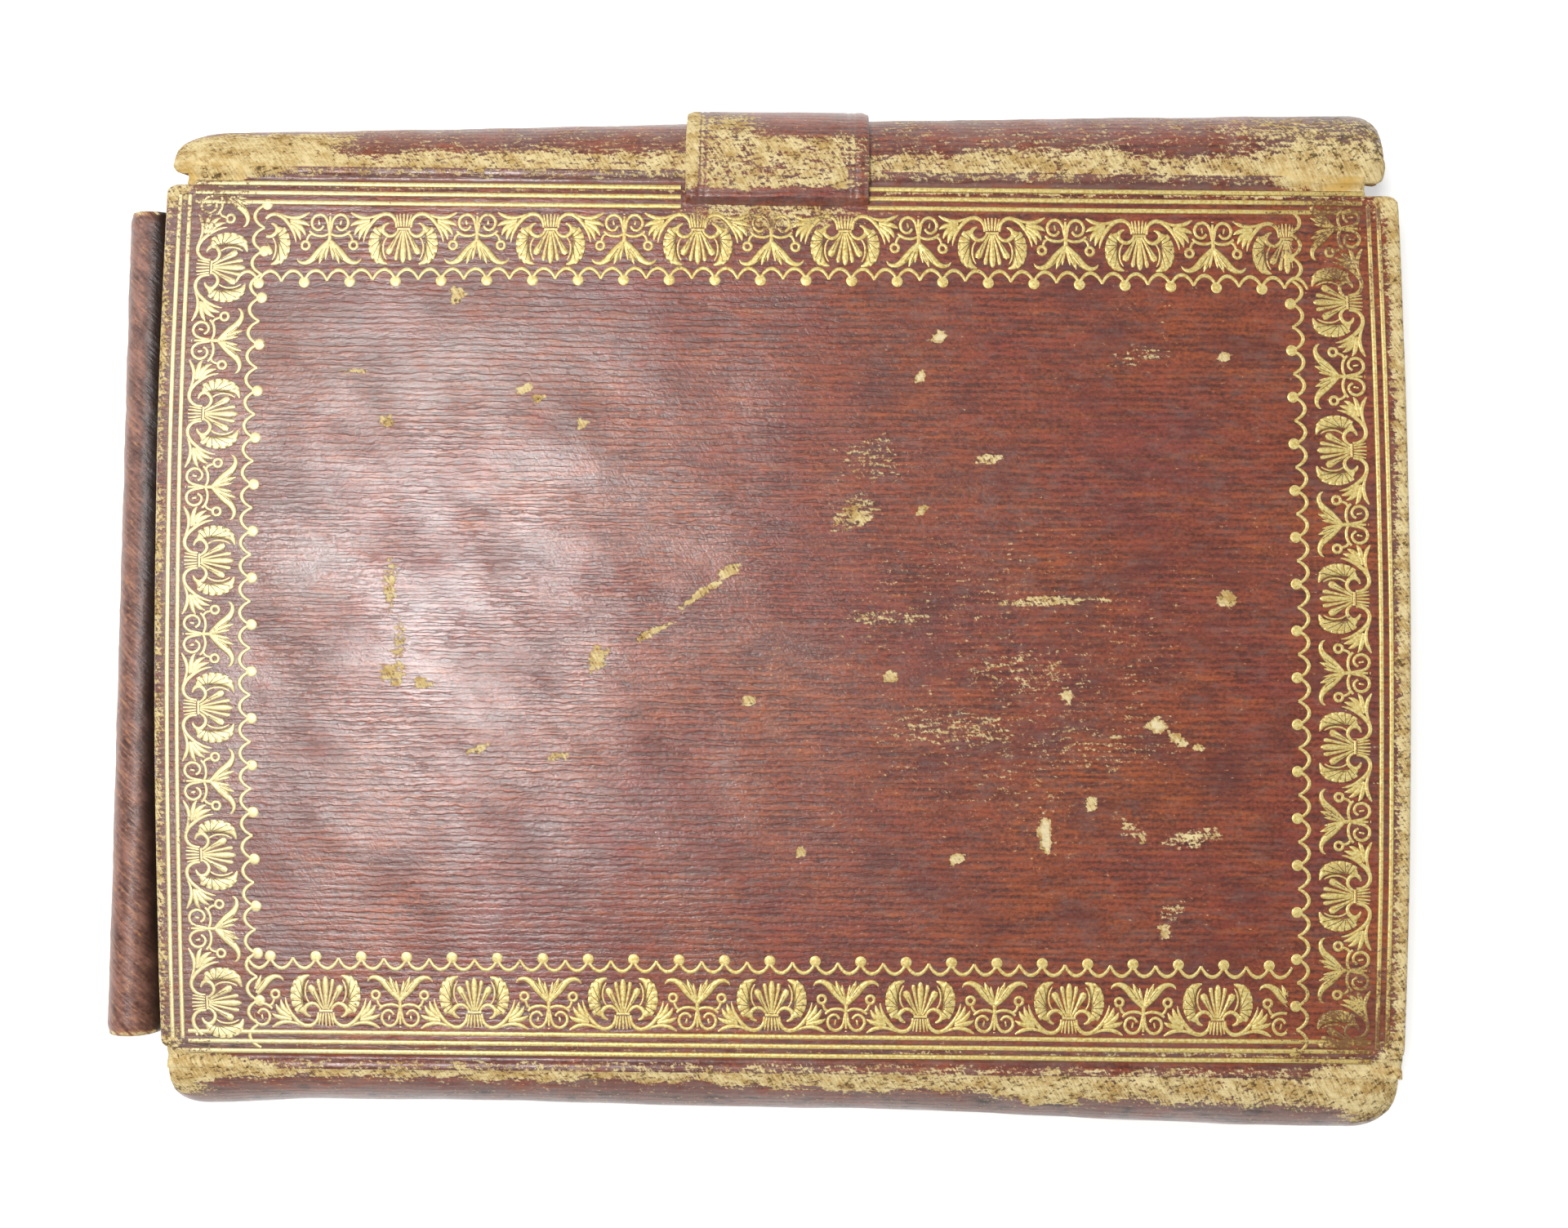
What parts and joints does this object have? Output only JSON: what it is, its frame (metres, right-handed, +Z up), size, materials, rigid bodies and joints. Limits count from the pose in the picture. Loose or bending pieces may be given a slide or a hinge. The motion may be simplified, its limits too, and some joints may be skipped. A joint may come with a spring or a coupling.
{
  "type": "antique leather pocket book",
  "caption": "Oblong leather-bound pocket book with hinged covers, half-round spine, fore-edge flap, closing strap, gilt-tooled upper cover and a pencil sleeve.",
  "frame": {"origin": "centre of the back cover's underside, on the surface that the closed book lies on", "axes": "+X along the spine with the pencil sleeve at -X, +Y from the spine to the fore-edge flap, +Z up to the gilt front cover"},
  "size_m": [0.1621, 0.1262, 0.016],
  "materials": {
    "red_goatskin": "glazed straight grain, rubbed to tan at the edges",
    "sleeve_goatskin": "crushed grain, matt",
    "lining_skin": "plain, matt",
    "gold_leaf": "burnished leaf, worn",
    "laid_paper": "cut edges, toned",
    "endpaper": "plain, toned",
    "pasteboard": "raw",
    "silk_thread": "sewn"
  },
  "bodies": {
    "pages": {"text_block": "laid_paper", "head_endband": "silk_thread", "tail_endband": "silk_thread", "spine_lining": "pasteboard", "spine_leather": "red_goatskin", "front_joint": "red_goatskin", "back_joint": "red_goatskin"},
    "front_cover": {"front_board": "pasteboard", "front_leather": "red_goatskin", "front_pastedown": "endpaper", "gilt_tooling": "gold_leaf", "flap_joint": "red_goatskin"},
    "back_cover": {"back_board": "pasteboard", "back_leather": "red_goatskin", "back_pastedown": "endpaper", "pencil_sleeve": "sleeve_goatskin"},
    "flap": {"flap_leather": "red_goatskin", "flap_lining": "lining_skin", "strap": "red_goatskin"}
  },
  "joints": [
    {"name": "front_cover_hinge", "type": "hinge", "parent": "pages", "child": "front_cover", "pos_m": [0, -0.05385, 0.015], "axis": [1, 0, 0], "range_deg": [0, 180], "deforming": ["front_joint"]},
    {"name": "back_cover_hinge", "type": "hinge", "parent": "pages", "child": "back_cover", "pos_m": [0, -0.05385, 0], "axis": [-1, 0, 0], "range_deg": [0, 180], "deforming": ["back_joint"]},
    {"name": "flap_hinge", "type": "hinge", "parent": "front_cover", "child": "flap", "pos_m": [0, 0.05385, 0.015], "axis": [1, 0, 0], "range_deg": [0, 150], "deforming": ["flap_joint", "strap"]}
  ]
}
